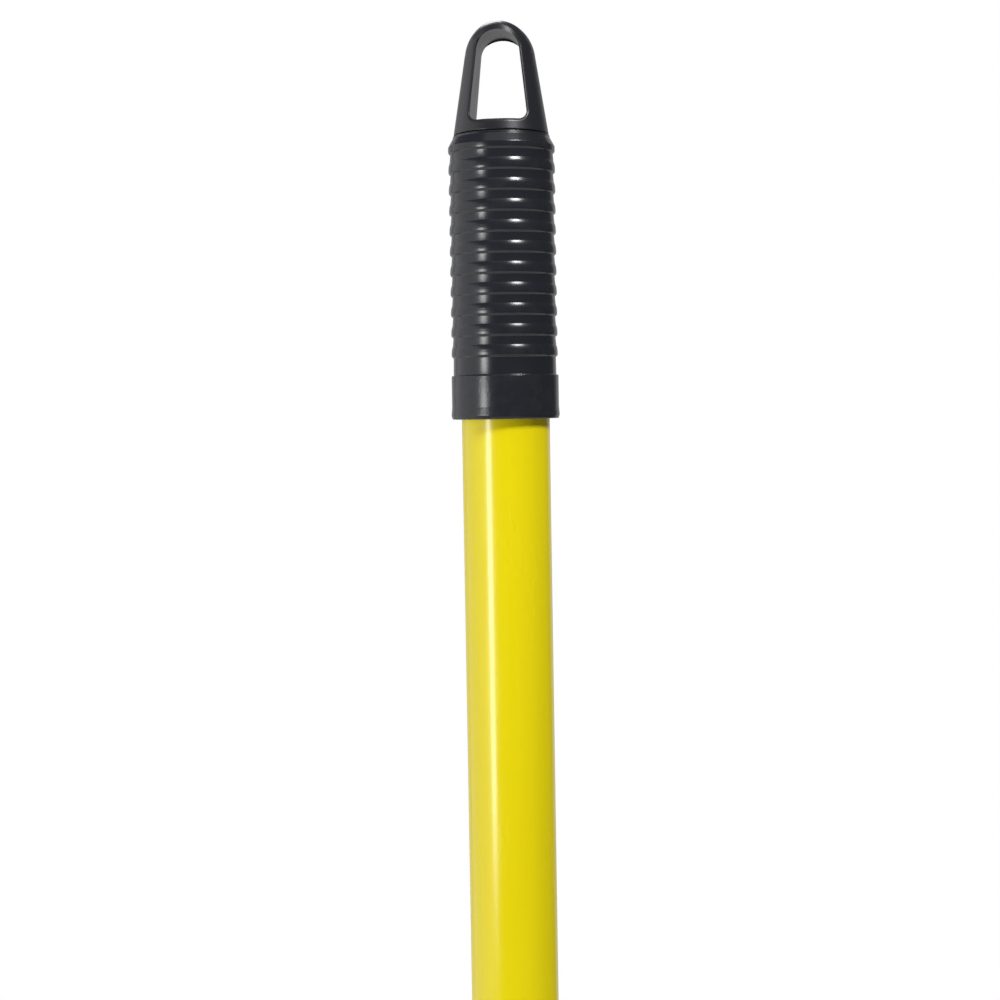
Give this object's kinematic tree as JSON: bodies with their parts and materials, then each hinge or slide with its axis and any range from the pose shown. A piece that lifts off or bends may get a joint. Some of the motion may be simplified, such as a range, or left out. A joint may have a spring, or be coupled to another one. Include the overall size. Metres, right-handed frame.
{
  "type": "roller extension pole",
  "caption": "Telescopic paint roller pole with a twist-lock collar, ribbed grip, hanging loop and threaded roller tip.",
  "frame": {"origin": "centre of the threaded tip's flat end face, on the pole's axis", "axes": "+Z along the pole from the tip to the hanging loop; Y runs through the hole of the loop; X across it"},
  "size_m": [0.0344, 0.0344, 0.65],
  "materials": {
    "tube_paint": "glossy yellow powder coat on steel",
    "inner_steel": "zinc plated, drawn tube",
    "loop_plastic": "satin moulded black",
    "grip_plastic": "glossy moulded black",
    "lock_plastic": "satin moulded black",
    "collar_plastic": "satin moulded black",
    "tip_plastic": "satin glass-filled black",
    "nylon": "natural nylon",
    "acetal": "natural acetal",
    "wiper_rubber": "matt rubber",
    "spring_steel": "bright steel",
    "rivet_aluminium": "satin"
  },
  "bodies": {
    "handle": {"hanger_cap": "loop_plastic", "grip_sleeve": "grip_plastic", "outer_tube": "tube_paint", "stop_sleeve": "nylon", "lock_body": "lock_plastic", "lock_rivet_left": "rivet_aluminium", "lock_rivet_right": "rivet_aluminium"},
    "clamp": {"collet": "acetal", "thrust_washer": "spring_steel"},
    "collar": {"lock_collar": "collar_plastic", "wiper_ring": "wiper_rubber", "collar_snap_ring": "spring_steel"},
    "glide": {"glide_ring_lower": "nylon", "glide_ring_upper": "nylon"},
    "inner_section": {"inner_tube": "inner_steel", "guide_plug": "acetal", "guide_plug_pin": "spring_steel", "tip_ferrule": "tip_plastic", "threaded_tip": "tip_plastic", "tip_rivet_left": "rivet_aluminium", "tip_rivet_right": "rivet_aluminium"}
  },
  "joints": [
    {"name": "telescope", "type": "slide", "parent": "handle", "child": "glide", "axis": [0, 0, -1], "range_m": [0, 0.43]},
    {"name": "inner_spin", "type": "hinge", "parent": "glide", "child": "inner_section", "pos_m": [0, 0, 0.3], "axis": [0, 0, 1], "continuous": true},
    {"name": "collar_travel", "type": "slide", "parent": "handle", "child": "clamp", "axis": [0, 0, -1], "range_m": [0, 0.003]},
    {"name": "collar_twist", "type": "hinge", "parent": "clamp", "child": "collar", "pos_m": [0, 0, 0.087], "axis": [0, 0, -1], "range_deg": [0, 270]}
  ],
  "couplings": [
    {"joint": "collar_twist", "follows": "collar_travel", "rad_per_m": 1570.8}
  ]
}
